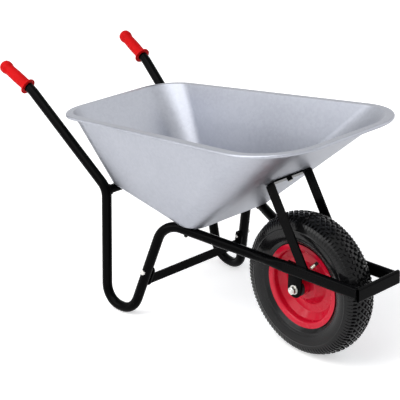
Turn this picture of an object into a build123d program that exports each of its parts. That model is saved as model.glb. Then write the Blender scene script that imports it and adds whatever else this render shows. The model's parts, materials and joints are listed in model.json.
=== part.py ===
from build123d import *
import os
from math import atan2, cos, radians, sin

# A garden wheelbarrow with one pneumatic wheel: a pressed steel tray on two bent frame tubes,
# which run from the grips down round the legs and forward to a bumper in front of the wheel.
# Millimetres. +X points to the wheel, +Y to the left of the person pushing, +Z up.
# The origin is on the ground, under the middle of the whole length.

# Wheel: tyre, inner tube, two pressed rim halves, hub and ball bearings
TYRE_DIA = 390.0
TYRE_WIDTH = 92.0
TREAD_SHOULDER_DROP = 11.0
TREAD_WIDTH = 74.0
TYRE_CAVITY_WIDTH = 77.0
TYRE_CAVITY_HEIGHT = 75.0
TREAD_THICKNESS = 12.5
BEAD_WIDTH = 12.8
INNER_TUBE_GAP = 0.4
INNER_TUBE_WALL = 2.5
RIM_SEAT_DIA = 203.0
RIM_FLANGE_DIA = 232.0
RIM_WIDTH = 64.0
RIM_BARREL_START = 16.0
RIM_SHEET = 2.0
RIM_WELL_DIA = 164.0
RIM_DISC_DIA = 116.0
RIM_BOSS_DIA = 74.0
RIM_BOSS_OFFSET = 22.0
RIM_BEND = 5.0
HUB_DIA = 44.0
HUB_LENGTH = 86.0
BEARING_DIA = 37.0
BEARING_WIDTH = 12.0
BEARING_RING = 4.2
BEARING_SHOULDER = 1.5
BALL_DIA = 7.0
BALL_COUNT = 8
DUST_CAP_THICKNESS = 2.0
DUST_CAP_CLEARANCE = 1.0
VALVE_ANGLE = 63.0
VALVE_DIA = 9.0
VALVE_REACH = 26.0
VALVE_ROOT = 27.0
VALVE_CAP_DIA = 11.5
VALVE_CAP_LENGTH = 13.0
VALVE_CAP_OVERLAP = 6.0

# Axle and the plates it hangs in
AXLE_DIA = 12.0
AXLE_STICK_OUT = 3.0
AXLE_CHAMFER = 1.2
NUT_HEIGHT = 10.0
NUT_FLATS = 19.0
WASHER_DIA = 26.0
WASHER_THICKNESS = 2.5
SPACER_DIA = 18.0
HANGER_WIDTH = 46.0
HANGER_THICKNESS = 5.0
HANGER_OVERLAP = 14.0

# Frame tubes: each corner is (distance behind the axle, distance from the middle, height)
TUBE_DIA = 28.0
TUBE_WALL = 1.5
GRIP_END = (997.0, 227.0, 616.0)
GRIP_BEND = (880.0, 215.0, 562.0)
REAR_BEND = (598.0, 185.0, 336.0)
FOOT_REAR = (567.0, 219.0)
FOOT_FRONT = (465.0, 211.0)
FRONT_BEND = (388.0, 162.0, 294.0)
NECK = (123.0, 70.0, 252.0)
RAIL_END = (-220.0, 70.0, 265.0)
GRIP_BEND_RADIUS = 90.0
REAR_BEND_RADIUS = 55.0
FOOT_RADIUS = 56.0
FRONT_BEND_RADIUS = 62.0
NECK_RADIUS = 150.0
# ahead of the neck each tube is pressed into a taller, narrower section
FLAT_HEIGHT = 34.0
FLAT_WIDTH = 17.4
FLATTEN_START = 40.0
FLATTEN_LENGTH = 56.0
# the bumper's tube is pressed flatter
BUMPER_HEIGHT = 38.0
BUMPER_WIDTH = 12.0

# Red grips pushed over the tube ends
GRIP_LENGTH = 113.0
GRIP_DIA = 33.0
GRIP_KNOB_DIA = 38.0
GRIP_FLANGE_DIA = 48.0
GRIP_FLANGE_THICKNESS = 5.0
GRIP_FLANGE_ROUND = 1.6
GRIP_END_WALL = 9.0

# Tray: the floor is measured along its slope from the frame's front bend, the rim along its own
FLOOR_BACK = 240.0
FLOOR_FRONT = 101.0
FLOOR_REAR_WIDTH = 336.0
FLOOR_FRONT_WIDTH = 330.0
FLOOR_REAR_CORNER = 60.0
FLOOR_FRONT_CORNER = 55.0
FLOOR_BEND = 24.0
RIM_BACK = 770.0
RIM_BACK_HEIGHT = 520.0
RIM_RISE = 7.5
TRAY_RIM_LENGTH = 877.0
RIM_REAR_WIDTH = 400.0
RIM_FRONT_WIDTH = 518.0
RIM_REAR_CORNER = 90.0
RIM_FRONT_CORNER = 140.0
TRAY_SHEET = 1.5
RIM_LIP = 20.0
RIM_BEAD_DIA = 9.0

# Bars and straps that join the two tubes
CROSS_BAR_DIA = 25.0
CROSS_BAR_WALL = 2.0
CROSS_BAR_BEHIND_BEND = 3.0
BRACE_HEIGHT = 108.0
BRACE_BOLT_HEIGHT = 140.0
BRACE_WIDTH = 26.0
BRACE_THICKNESS = 5.0
SUPPORT_WIDTH = 30.0
SUPPORT_THICKNESS = 5.0
SUPPORT_UP_WALL = 268.0
SUPPORT_FOOT_AHEAD = 37.0
SUPPORT_OUTSET = 4.0
SUPPORT_BEND = 7.0

# Bolts
TRAY_BOLT_DIA = 6.0
TRAY_BOLT_HEAD_DIA = 13.0
TRAY_BOLT_AHEAD = 66.0
TRAY_BOLT_SPREAD = 200.0
BRACE_BOLT_DIA = 8.0
SUPPORT_BOLT_DIA = 8.0
SUPPORT_BOLT_HEAD_DIA = 16.0
HEAD_PER_DIA = 0.65
NUT_PER_DIA = 0.8
FLATS_PER_DIA = 1.62
BOLT_STICK_OUT = 3.0

# Clearances
HOLE_CLEARANCE = 0.5
FIT_CLEARANCE = 0.04
SEAT_GAP = 0.2

os.makedirs("parts", exist_ok=True)


def publish(piece, name):
    """Labels a finished piece and writes its file."""
    piece.label = name
    export_step(piece, f"parts/{name}.step")


def corner(point, side=1):
    """Turns (behind the axle, from the middle, height) into a point, still measured from the axle."""
    return Vector(-point[0], side * point[1], point[2])


# Where the axle lies along the length: the grips' ends and the bumper's front are equally far out
grip_direction = (corner(GRIP_END) - corner(GRIP_BEND)).normalized()
rail_direction = (corner(RAIL_END) - corner(NECK)).normalized()
rail_up = Vector(0, -1, 0).cross(rail_direction)
knob_centre = corner(GRIP_END) - grip_direction * (GRIP_KNOB_DIA / 2)
reach_back = GRIP_KNOB_DIA / 2 - knob_centre.X
bumper_slant = (BUMPER_HEIGHT - BUMPER_WIDTH) / 2 * abs(rail_direction.Z)
reach_front = -RAIL_END[0] + BUMPER_WIDTH / 2 * (1 + rail_direction.X) + bumper_slant
AXLE_X = (reach_back - reach_front) / 2
AXLE = Vector(AXLE_X, 0, TYRE_DIA / 2)


def place(point, side=1):
    """A frame corner in the barrow's own frame."""
    return corner(point, side) + Vector(AXLE_X, 0, 0)


tube_radius = TUBE_DIA / 2
foot_rear = (*FOOT_REAR, tube_radius)
foot_front = (*FOOT_FRONT, tube_radius)
grip_mouth = corner(GRIP_END) - grip_direction * GRIP_LENGTH
tube_end = corner(GRIP_END) - grip_direction * GRIP_END_WALL


def tube_path(side):
    """The round part of one frame tube, from inside its grip to just ahead of the neck."""
    shift = Vector(AXLE_X, 0, 0)
    start = Vector(tube_end.X, side * tube_end.Y, tube_end.Z) + shift
    flatten = place(NECK, side) + rail_direction * FLATTEN_START
    corners = [place(p, side) for p in (GRIP_BEND, REAR_BEND, foot_rear, foot_front, FRONT_BEND, NECK)]
    radii = [GRIP_BEND_RADIUS, REAR_BEND_RADIUS, FOOT_RADIUS, FOOT_RADIUS]
    radii += [FRONT_BEND_RADIUS, NECK_RADIUS]
    return FilletPolyline(start, *corners, flatten, radius=radii)


def across(path):
    """The plane square to a path at its start."""
    return Plane(origin=path @ 0, z_dir=path % 0)


def rail_plane(side, along):
    """The plane across one rail, a distance ahead of its neck, with its y direction up."""
    origin = place(NECK, side) + rail_direction * along
    return Plane(origin=origin, x_dir=rail_up.cross(rail_direction), z_dir=rail_direction)


rail_length = (corner(RAIL_END) - corner(NECK)).length
flat_start = FLATTEN_START + FLATTEN_LENGTH

# The plane of the tray's floor lies on the two rails behind their necks
floor_run = corner(NECK) - corner(FRONT_BEND)
floor_tilt = atan2(-floor_run.Z, floor_run.X)
floor_direction = Vector(cos(floor_tilt), 0, -sin(floor_tilt))
floor_normal = Vector(sin(floor_tilt), 0, cos(floor_tilt))
bend_point = place(FRONT_BEND)
floor_plane = Plane(
    origin=Vector(bend_point.X, 0, bend_point.Z) + floor_normal * (tube_radius + SEAT_GAP),
    x_dir=floor_direction,
    z_dir=floor_normal,
)
rim_tilt = radians(RIM_RISE)
rim_plane = Plane(
    origin=(AXLE_X - RIM_BACK, 0, RIM_BACK_HEIGHT),
    x_dir=(cos(rim_tilt), 0, sin(rim_tilt)),
    z_dir=(-sin(rim_tilt), 0, cos(rim_tilt)),
)

# The front wall's plane, through the floor's front edge and the rim's front edge
wall_foot = floor_plane.from_local_coords(Vector(FLOOR_FRONT, 0, 0))
wall_top = rim_plane.from_local_coords(Vector(TRAY_RIM_LENGTH, 0, 0))
wall_direction = (wall_top - wall_foot).normalized()
wall_plane = Plane(
    origin=wall_foot + wall_direction * SUPPORT_UP_WALL,
    x_dir=wall_direction,
    z_dir=Vector(0, 1, 0).cross(wall_direction),
)

# The two rail bolts, the two cross bar bolts and the leg brace's bolts
bar_back = (REAR_BEND[0] + CROSS_BAR_BEHIND_BEND - FRONT_BEND[0]) / floor_direction.X
rail_share = TRAY_BOLT_AHEAD * floor_direction.X / floor_run.X
rail_bolt_y = FRONT_BEND[1] + (NECK[1] - FRONT_BEND[1]) * rail_share
limb_run = corner(FRONT_BEND) - corner(foot_front)


def limb_point(height, side):
    """The point of a leg's front limb at a height."""
    share = (height - foot_front[2]) / limb_run.Z
    run = Vector(limb_run.X, side * limb_run.Y, limb_run.Z)
    return place(foot_front, side) + run * share


def limb_plane(side):
    """The plane of one leg at its brace bolt: x along the limb, z towards the other leg."""
    run = Vector(limb_run.X, side * limb_run.Y, limb_run.Z)
    foot = place(foot_rear, side) - place(foot_front, side)
    inward = run.cross(foot).normalized()
    if inward.Y * side > 0:
        inward = inward * -1
    return Plane(origin=limb_point(BRACE_BOLT_HEIGHT, side), x_dir=run, z_dir=inward)


def pressed_section(height, width, wall):
    """The tall narrow section of a pressed tube, drawn in by a wall."""
    return SlotOverall(height - 2 * wall, width - 2 * wall, rotation=90)


def hexagon(flats):
    """A hexagon of a given width across its flats."""
    return RegularPolygon(flats / 2, 6, major_radius=False)


def outline(length, start, rear_width, front_width, rear_corner, front_corner):
    """A tray outline: a trapezium along x with its own radius on each pair of corners."""
    Polygon(
        (start, -rear_width / 2),
        (start + length, -front_width / 2),
        (start + length, front_width / 2),
        (start, rear_width / 2),
        align=None,
    )
    rear = vertices().sort_by(Axis.X)[:2]
    fillet(rear, rear_corner)
    front = vertices().sort_by(Axis.X)[-2:]
    fillet(front, front_corner)


def rim_outline(inset):
    """The top of the tray's walls, drawn in by the inset."""
    outline(
        TRAY_RIM_LENGTH - 2 * inset,
        inset,
        RIM_REAR_WIDTH - 2 * inset,
        RIM_FRONT_WIDTH - 2 * inset,
        RIM_REAR_CORNER - inset,
        RIM_FRONT_CORNER - inset,
    )


def tray_body(inset):
    """The tray as a full block, drawn in by the inset on every side but the top."""
    with BuildPart() as block:
        with BuildSketch(floor_plane.offset(inset)):
            outline(
                FLOOR_BACK + FLOOR_FRONT - 2 * inset,
                inset - FLOOR_BACK,
                FLOOR_REAR_WIDTH - 2 * inset,
                FLOOR_FRONT_WIDTH - 2 * inset,
                FLOOR_REAR_CORNER - inset,
                FLOOR_FRONT_CORNER - inset,
            )
        with BuildSketch(rim_plane):
            rim_outline(inset)
        loft(ruled=True)
        bottom = block.faces().sort_by(Axis.Z)[0]
        fillet(bottom.edges(), FLOOR_BEND - inset)
    return block.part


# Tray: a pressed sheet with a flat lip round its rim, rolled into a bead at the edge
bead_radius = RIM_BEAD_DIA / 2
with BuildSketch(Plane.XY) as lip:
    rim_outline(0.0)
    offset(amount=RIM_LIP - bead_radius)
bead_path = (rim_plane.offset(-bead_radius) * lip.sketch).faces()[0].outer_wire()

with BuildPart() as tray:
    add(tray_body(0.0))
    with BuildSketch(rim_plane):
        add(lip.sketch)
    extrude(amount=-TRAY_SHEET)
    with BuildSketch(across(bead_path)):
        Circle(bead_radius)
    sweep(path=bead_path)
    add(tray_body(TRAY_SHEET), mode=Mode.SUBTRACT)
    for side in (-1, 1):
        with Locations(floor_plane * Location((TRAY_BOLT_AHEAD, side * rail_bolt_y, 0))):
            Hole((TRAY_BOLT_DIA + HOLE_CLEARANCE) / 2)
        with Locations(floor_plane * Location((-bar_back, side * TRAY_BOLT_SPREAD / 2, 0))):
            Hole((TRAY_BOLT_DIA + HOLE_CLEARANCE) / 2)
    with Locations(wall_plane):
        Hole((SUPPORT_BOLT_DIA + HOLE_CLEARANCE) / 2)
publish(tray.part, "tray")

# Frame tubes: round and hollow from the grips to the necks, pressed tall and narrow from there
tube_envelopes = []
for side, name in ((1, "left_frame_tube"), (-1, "right_frame_tube")):
    path = tube_path(side)
    with BuildPart() as envelope:
        with BuildSketch(across(path)):
            Circle(tube_radius + SEAT_GAP)
        sweep(path=path)
    tube_envelopes.append(envelope.part)
    with BuildPart() as frame_tube:
        with BuildSketch(across(path)):
            Circle(tube_radius)
            Circle(tube_radius - TUBE_WALL, mode=Mode.SUBTRACT)
        sweep(path=path)
        for wall, mode in ((0.0, Mode.ADD), (TUBE_WALL, Mode.SUBTRACT)):
            with BuildSketch(rail_plane(side, FLATTEN_START)):
                Circle(tube_radius - wall)
            with BuildSketch(rail_plane(side, flat_start)):
                pressed_section(FLAT_HEIGHT, FLAT_WIDTH, wall)
            loft(mode=mode)
            with BuildSketch(rail_plane(side, flat_start)):
                pressed_section(FLAT_HEIGHT, FLAT_WIDTH, wall)
            extrude(amount=rail_length - flat_start, mode=mode)
        with Locations(floor_plane * Location((TRAY_BOLT_AHEAD, side * rail_bolt_y, 0))):
            Hole((TRAY_BOLT_DIA + HOLE_CLEARANCE) / 2, depth=2 * TUBE_DIA)
        with Locations(limb_plane(side).offset(TUBE_DIA)):
            Hole((BRACE_BOLT_DIA + HOLE_CLEARANCE) / 2, depth=2 * TUBE_DIA)
    publish(frame_tube.part, name)

# Bumper: a length of tube pressed flat, set across the ends of both rails
bumper_centre = place(RAIL_END) + rail_direction * (BUMPER_WIDTH / 2)
bumper_plane = Plane(origin=(bumper_centre.X, 0, bumper_centre.Z), x_dir=rail_direction, z_dir=(0, -1, 0))
with BuildPart() as front_bumper:
    for wall, mode in ((0.0, Mode.ADD), (TUBE_WALL, Mode.SUBTRACT)):
        with BuildSketch(bumper_plane):
            pressed_section(BUMPER_HEIGHT, BUMPER_WIDTH, wall)
        extrude(amount=RAIL_END[1] + FLAT_WIDTH / 2, both=True, mode=mode)
publish(front_bumper.part, "front_bumper")

# Rear cross bar: a tube under the back of the tray's floor, coped round both frame tubes
bar_centre = floor_plane.from_local_coords(Vector(-bar_back, 0, -SEAT_GAP - CROSS_BAR_DIA / 2))
bar_plane = Plane(origin=bar_centre, x_dir=floor_direction, z_dir=(0, -1, 0))
with BuildPart() as rear_cross_bar:
    with BuildSketch(bar_plane):
        Circle(CROSS_BAR_DIA / 2)
        Circle(CROSS_BAR_DIA / 2 - CROSS_BAR_WALL, mode=Mode.SUBTRACT)
    extrude(amount=REAR_BEND[1], both=True)
    for envelope in tube_envelopes:
        add(envelope, mode=Mode.SUBTRACT)
    for side in (-1, 1):
        with Locations(floor_plane * Location((-bar_back, side * TRAY_BOLT_SPREAD / 2, 0))):
            Hole((TRAY_BOLT_DIA + HOLE_CLEARANCE) / 2, depth=2 * CROSS_BAR_DIA)
publish(rear_cross_bar.part, "rear_cross_bar")

# Leg brace: a flat bar between the legs' front limbs, with a tab up the inside of each limb
brace_drop = (limb_point(BRACE_BOLT_HEIGHT, 1) - limb_point(BRACE_HEIGHT, 1)).length
tab_seat = tube_radius + SEAT_GAP
brace_end = limb_point(BRACE_HEIGHT, 1)
brace_half = brace_end.Y - tab_seat - BRACE_THICKNESS / 2
brace_plane = Plane(origin=(brace_end.X, 0, BRACE_HEIGHT), x_dir=(1, 0, 0), z_dir=(0, -1, 0))
with BuildPart() as leg_brace:
    with BuildSketch(brace_plane):
        Rectangle(BRACE_THICKNESS, BRACE_WIDTH)
    extrude(amount=brace_half, both=True)
    for side in (-1, 1):
        tab_plane = limb_plane(side).offset(tab_seat)
        with BuildSketch(tab_plane):
            with Locations((-brace_drop / 2, 0)):
                SlotCenterToCenter(brace_drop, BRACE_WIDTH)
        extrude(amount=BRACE_THICKNESS)
        with Locations(tab_plane):
            Hole((BRACE_BOLT_DIA + HOLE_CLEARANCE) / 2, depth=2 * BRACE_THICKNESS)
publish(leg_brace.part, "leg_brace")

# Tray support: a flat strap bent over the wheel, its top against the tray's front wall
strap_half = RAIL_END[1] + SUPPORT_OUTSET
strap_seat = wall_plane.offset(SEAT_GAP)
crown = place(NECK) + rail_up * (FLAT_HEIGHT / 2 + SEAT_GAP)
crown_plane = Plane(origin=crown, x_dir=rail_direction, z_dir=rail_up)
crown_run = (SUPPORT_FOOT_AHEAD + NECK[0]) / rail_direction.X
strap_foot = Vector(crown.X, 0, crown.Z) + rail_direction * crown_run
strap_run = (strap_foot - wall_plane.origin).normalized()
strap_side = strap_run.cross(Vector(0, 1, 0)) * (SUPPORT_WIDTH / 2)


def strap_corner(edge, plane):
    """The point where one edge of the strap's legs meets a plane across it."""
    start = strap_foot + strap_side * edge
    gap = (plane.origin - start).dot(plane.z_dir)
    point = start + strap_run * (gap / strap_run.dot(plane.z_dir))
    return (point.X, point.Z)


strap_outline = [
    strap_corner(1, strap_seat),
    strap_corner(-1, strap_seat),
    strap_corner(-1, crown_plane),
    strap_corner(1, crown_plane),
]
with BuildPart() as tray_support:
    with BuildSketch(Plane.XZ):
        Polygon(*strap_outline, align=None)
    extrude(amount=strap_half, both=True)
    with BuildSketch(Plane.XZ):
        Polygon(*strap_outline, align=None)
    extrude(amount=strap_half - SUPPORT_THICKNESS, both=True, mode=Mode.SUBTRACT)
    with BuildSketch(strap_seat):
        Rectangle(SUPPORT_WIDTH, 2 * strap_half)
    extrude(amount=SUPPORT_THICKNESS)
    with Locations(strap_seat):
        Hole((SUPPORT_BOLT_DIA + HOLE_CLEARANCE) / 2, depth=2 * SUPPORT_THICKNESS)
    bends = tray_support.edges().filter_by(
        lambda edge: abs(abs(edge.center().Y) - strap_half) < SEAT_GAP
        and abs(strap_seat.to_local_coords(edge.center()).Z) < SEAT_GAP
    )
    fillet(bends, SUPPORT_BEND)
publish(tray_support.part, "tray_support")

# Axle hangers: plates on the inner faces of the rails, with the axle through their round ends
hanger_outer = RAIL_END[1] - FLAT_WIDTH / 2 - SEAT_GAP
hanger_inner = hanger_outer - HANGER_THICKNESS
rail_height = NECK[2] + (RAIL_END[2] - NECK[2]) * NECK[0] / (NECK[0] - RAIL_END[0])
hanger_top = rail_height + HANGER_OVERLAP - AXLE.Z
for side, name in ((1, "left_axle_hanger"), (-1, "right_axle_hanger")):
    hanger_centre = AXLE + Vector(0, side * hanger_inner, 0)
    inner_plane = Plane(origin=hanger_centre, x_dir=(1, 0, 0), z_dir=(0, side, 0))
    up = side * -1
    with BuildPart() as hanger:
        with BuildSketch(inner_plane):
            Circle(HANGER_WIDTH / 2)
            with Locations((0, up * hanger_top / 2)):
                Rectangle(HANGER_WIDTH, hanger_top)
            Circle((AXLE_DIA + HOLE_CLEARANCE) / 2, mode=Mode.SUBTRACT)
        extrude(amount=HANGER_THICKNESS)
    publish(hanger.part, name)

# Axle: a long rod through both hangers and both bearings, with a washer and a nut at each end
wheel_plane = Plane(origin=AXLE, x_dir=(1, 0, 0), z_dir=(0, 0, 1))
wheel_axis = Axis(AXLE, (0, 1, 0))
axle_plane = Plane(origin=AXLE, x_dir=(1, 0, 0), z_dir=(0, 1, 0))
nut_seat = hanger_outer + WASHER_THICKNESS
axle_half = nut_seat + NUT_HEIGHT + AXLE_STICK_OUT
bearing_bore = AXLE_DIA + 2 * FIT_CLEARANCE
with BuildPart() as axle:
    with BuildSketch(axle_plane):
        Circle(AXLE_DIA / 2)
    extrude(amount=axle_half, both=True)
    chamfer(axle.edges().filter_by(GeomType.CIRCLE), AXLE_CHAMFER)
publish(axle.part, "axle")


def end_pair(inner, outer, bore, dia=0.0, flats=0.0):
    """A pair of rings or nuts on the axle, one at each end, between two distances from the middle."""
    with BuildPart() as pair:
        for end in (-1, 1):
            with BuildSketch(axle_plane.offset(end * inner)):
                if flats:
                    hexagon(flats)
                else:
                    Circle(dia / 2)
                Circle(bore / 2, mode=Mode.SUBTRACT)
            extrude(amount=end * (outer - inner))
    return pair.part


axle_hole = AXLE_DIA + HOLE_CLEARANCE
publish(end_pair(hanger_outer, nut_seat, axle_hole, dia=WASHER_DIA), "axle_washers")
publish(end_pair(nut_seat, nut_seat + NUT_HEIGHT, bearing_bore, flats=NUT_FLATS), "axle_nuts")

hub_half = HUB_LENGTH / 2
publish(end_pair(hub_half, hanger_inner, bearing_bore, dia=SPACER_DIA), "axle_spacers")

# Bearings: an inner ring on the axle, an outer ring in the hub and balls between them
bearing_middle = hub_half - BEARING_WIDTH / 2
ball_circle = (BEARING_DIA + AXLE_DIA) / 4
race_radius = BALL_DIA / 2 + FIT_CLEARANCE
ring_inner = bearing_bore / 2
ring_outer = BEARING_DIA / 2 - FIT_CLEARANCE


def bearing_rings(inner, outer):
    """A ring in each bearing, with the groove that the balls run in."""
    with BuildPart() as rings:
        for end in (-1, 1):
            with BuildSketch(wheel_plane):
                with Locations(((inner + outer) / 2, end * bearing_middle)):
                    Rectangle(outer - inner, BEARING_WIDTH)
                with Locations((ball_circle, end * bearing_middle)):
                    Circle(race_radius, mode=Mode.SUBTRACT)
            revolve(axis=wheel_axis)
    return rings.part


publish(bearing_rings(ring_inner, ring_inner + BEARING_RING), "bearing_inner_rings")
publish(bearing_rings(ring_outer - BEARING_RING, ring_outer), "bearing_outer_rings")

with BuildPart() as bearing_balls:
    for end in (-1, 1):
        with Locations(axle_plane.offset(end * bearing_middle)):
            with PolarLocations(ball_circle, BALL_COUNT):
                Sphere(BALL_DIA / 2)
publish(bearing_balls.part, "bearing_balls")

# Hub: a tube with a seat for a bearing at each end, closed by dust caps
hub_bore = BEARING_DIA / 2 - BEARING_SHOULDER
with BuildPart() as hub:
    with BuildSketch(axle_plane):
        Circle(HUB_DIA / 2)
        Circle(hub_bore, mode=Mode.SUBTRACT)
    extrude(amount=hub_half, both=True)
    for end in (-1, 1):
        with BuildSketch(axle_plane.offset(end * hub_half)):
            Circle(BEARING_DIA / 2)
        extrude(amount=-end * BEARING_WIDTH, mode=Mode.SUBTRACT)
publish(hub.part, "hub")

cap_bore = SPACER_DIA + 2 * DUST_CAP_CLEARANCE
publish(end_pair(hub_half, hub_half + DUST_CAP_THICKNESS, cap_bore, dia=HUB_DIA), "dust_caps")

# Valve: it leaves the inner tube through the slanting wall of the right rim half
sheet_half = RIM_SHEET / 2
seat_radius = RIM_SEAT_DIA / 2
barrel = seat_radius - sheet_half
well = RIM_WELL_DIA / 2
flange_middle = RIM_WIDTH / 2 + sheet_half
valve_radial = Vector(cos(radians(VALVE_ANGLE)), 0, sin(radians(VALVE_ANGLE)))
slope_radial = barrel - well
slope_axial = RIM_BARREL_START - sheet_half
slope_length = (slope_radial**2 + slope_axial**2) ** 0.5
valve_direction = (valve_radial * -slope_axial + Vector(0, -slope_radial, 0)) * (1 / slope_length)
slope_middle = (RIM_BARREL_START + sheet_half) / 2
valve_point = AXLE + valve_radial * ((barrel + well) / 2) - Vector(0, slope_middle, 0)
valve_plane = Plane(origin=valve_point, x_dir=valve_direction.cross(valve_radial), z_dir=valve_direction)


def rim_half(end):
    """One pressed half of the rim, from its boss on the hub out to the flange."""
    with BuildPart() as half:
        with BuildSketch(wheel_plane):
            with BuildLine():
                FilletPolyline(
                    (HUB_DIA / 2 + SEAT_GAP, end * RIM_BOSS_OFFSET),
                    (RIM_BOSS_DIA / 2, end * RIM_BOSS_OFFSET),
                    (RIM_DISC_DIA / 2, end * sheet_half),
                    (well, end * sheet_half),
                    (barrel, end * RIM_BARREL_START),
                    (barrel, end * flange_middle),
                    (RIM_FLANGE_DIA / 2, end * flange_middle),
                    radius=RIM_BEND,
                )
            trace(line_width=RIM_SHEET)
        revolve(axis=wheel_axis)
    return half.part


publish(rim_half(1), "left_rim_half")

with BuildPart() as right_rim_half:
    add(rim_half(-1))
    with Locations(valve_plane.offset(VALVE_DIA)):
        Hole((VALVE_DIA + HOLE_CLEARANCE) / 2, depth=2 * VALVE_DIA)
publish(right_rim_half.part, "right_rim_half")

# Tyre: beads on the rim's seats, round side walls and a crowned tread, hollow for the inner tube
tyre_radius = TYRE_DIA / 2
heel_radius = seat_radius + SEAT_GAP
bead_heel = RIM_WIDTH / 2 - SEAT_GAP
side_start = RIM_FLANGE_DIA / 2 + RIM_SHEET
shoulder = tyre_radius - TREAD_SHOULDER_DROP
cavity_middle = tyre_radius - TREAD_THICKNESS - TYRE_CAVITY_HEIGHT / 2
with BuildPart() as tyre:
    with BuildSketch(wheel_plane):
        with BuildLine():
            for end in (-1, 1):
                Polyline(
                    (heel_radius, 0),
                    (heel_radius, end * (bead_heel - RIM_BEND)),
                    (heel_radius + RIM_BEND, end * bead_heel),
                    (side_start, end * bead_heel),
                )
                ThreePointArc(
                    (side_start, end * bead_heel),
                    (cavity_middle, end * TYRE_WIDTH / 2),
                    (shoulder, end * TREAD_WIDTH / 2),
                )
            ThreePointArc((shoulder, -TREAD_WIDTH / 2), (tyre_radius, 0), (shoulder, TREAD_WIDTH / 2))
        make_face()
        with Locations((cavity_middle, 0)):
            Ellipse(TYRE_CAVITY_HEIGHT / 2, TYRE_CAVITY_WIDTH / 2, mode=Mode.SUBTRACT)
        with Locations((heel_radius, 0)):
            Rectangle(TYRE_CAVITY_HEIGHT / 2, 2 * (bead_heel - BEAD_WIDTH), mode=Mode.SUBTRACT)
    revolve(axis=wheel_axis)
publish(tyre.part, "tyre")

# Inner tube: a soft ring that fills the tyre, with the valve's stem on it
tube_height = TYRE_CAVITY_HEIGHT / 2 - INNER_TUBE_GAP
tube_width = TYRE_CAVITY_WIDTH / 2 - INNER_TUBE_GAP
with BuildPart() as inner_tube:
    with BuildSketch(wheel_plane):
        with Locations((cavity_middle, 0)):
            Ellipse(tube_height, tube_width)
            Ellipse(tube_height - INNER_TUBE_WALL, tube_width - INNER_TUBE_WALL, mode=Mode.SUBTRACT)
    revolve(axis=wheel_axis)
publish(inner_tube.part, "inner_tube")

with BuildPart() as tube_room:
    with BuildSketch(wheel_plane):
        with Locations((cavity_middle, 0)):
            Ellipse(tube_height + SEAT_GAP, tube_width + SEAT_GAP)
    revolve(axis=wheel_axis)
with BuildPart() as valve_stem:
    with BuildSketch(valve_plane.offset(-VALVE_ROOT)):
        Circle(VALVE_DIA / 2)
    extrude(amount=VALVE_ROOT + VALVE_REACH)
    add(tube_room.part, mode=Mode.SUBTRACT)
publish(valve_stem.part, "valve_stem")

with BuildPart() as valve_cap:
    with BuildSketch(valve_plane.offset(VALVE_REACH - VALVE_CAP_OVERLAP)):
        Circle(VALVE_CAP_DIA / 2)
    extrude(amount=VALVE_CAP_LENGTH)
    with BuildSketch(valve_plane.offset(VALVE_REACH - VALVE_CAP_OVERLAP)):
        Circle(VALVE_DIA / 2 + FIT_CLEARANCE)
    extrude(amount=VALVE_CAP_OVERLAP, mode=Mode.SUBTRACT)
publish(valve_cap.part, "valve_cap")

# Grips: a flange towards the tube, a plain body and a round knob at the end
knob_radius = GRIP_KNOB_DIA / 2
knob_middle = GRIP_LENGTH - knob_radius
bore_radius = tube_radius + FIT_CLEARANCE
bore_depth = GRIP_LENGTH - GRIP_END_WALL
for side, name in ((1, "left_grip"), (-1, "right_grip")):
    direction = Vector(grip_direction.X, side * grip_direction.Y, grip_direction.Z)
    mouth = Vector(grip_mouth.X + AXLE_X, side * grip_mouth.Y, grip_mouth.Z)
    mouth_plane = Plane(origin=mouth, x_dir=(0, 1, 0), z_dir=direction)
    with BuildPart() as grip:
        with BuildSketch(mouth_plane):
            Circle(GRIP_FLANGE_DIA / 2)
        extrude(amount=GRIP_FLANGE_THICKNESS)
        fillet(grip.edges().filter_by(GeomType.CIRCLE), GRIP_FLANGE_ROUND)
        with BuildSketch(mouth_plane):
            Circle(GRIP_DIA / 2)
        extrude(amount=knob_middle)
        with Locations(mouth_plane.offset(knob_middle)):
            Sphere(knob_radius)
        with BuildSketch(mouth_plane):
            Circle(bore_radius)
        extrude(amount=bore_depth, mode=Mode.SUBTRACT)
    publish(grip.part, name)


def turned_over(plane):
    """The same plane seen from its other side."""
    return Plane(origin=plane.origin, x_dir=plane.x_dir, z_dir=plane.z_dir * -1)


def bolt_set(seats, dia, grip_length, head_dia=0.0):
    """Bolts with their heads on the seats' planes and their shanks against the planes' normals."""
    with BuildPart() as bolts:
        for seat in seats:
            with BuildSketch(seat):
                if head_dia:
                    Circle(head_dia / 2)
                else:
                    hexagon(dia * FLATS_PER_DIA)
            extrude(amount=dia * HEAD_PER_DIA)
            with BuildSketch(seat):
                Circle(dia / 2)
            extrude(amount=-(grip_length + dia * NUT_PER_DIA + BOLT_STICK_OUT))
    return bolts.part


def nut_set(seats, dia, grip_length):
    """Nuts on the far ends of those bolts."""
    with BuildPart() as nuts:
        for seat in seats:
            with BuildSketch(seat.offset(-grip_length)):
                hexagon(dia * FLATS_PER_DIA)
                Circle(dia / 2 + FIT_CLEARANCE, mode=Mode.SUBTRACT)
            extrude(amount=-dia * NUT_PER_DIA)
    return nuts.part


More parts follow.
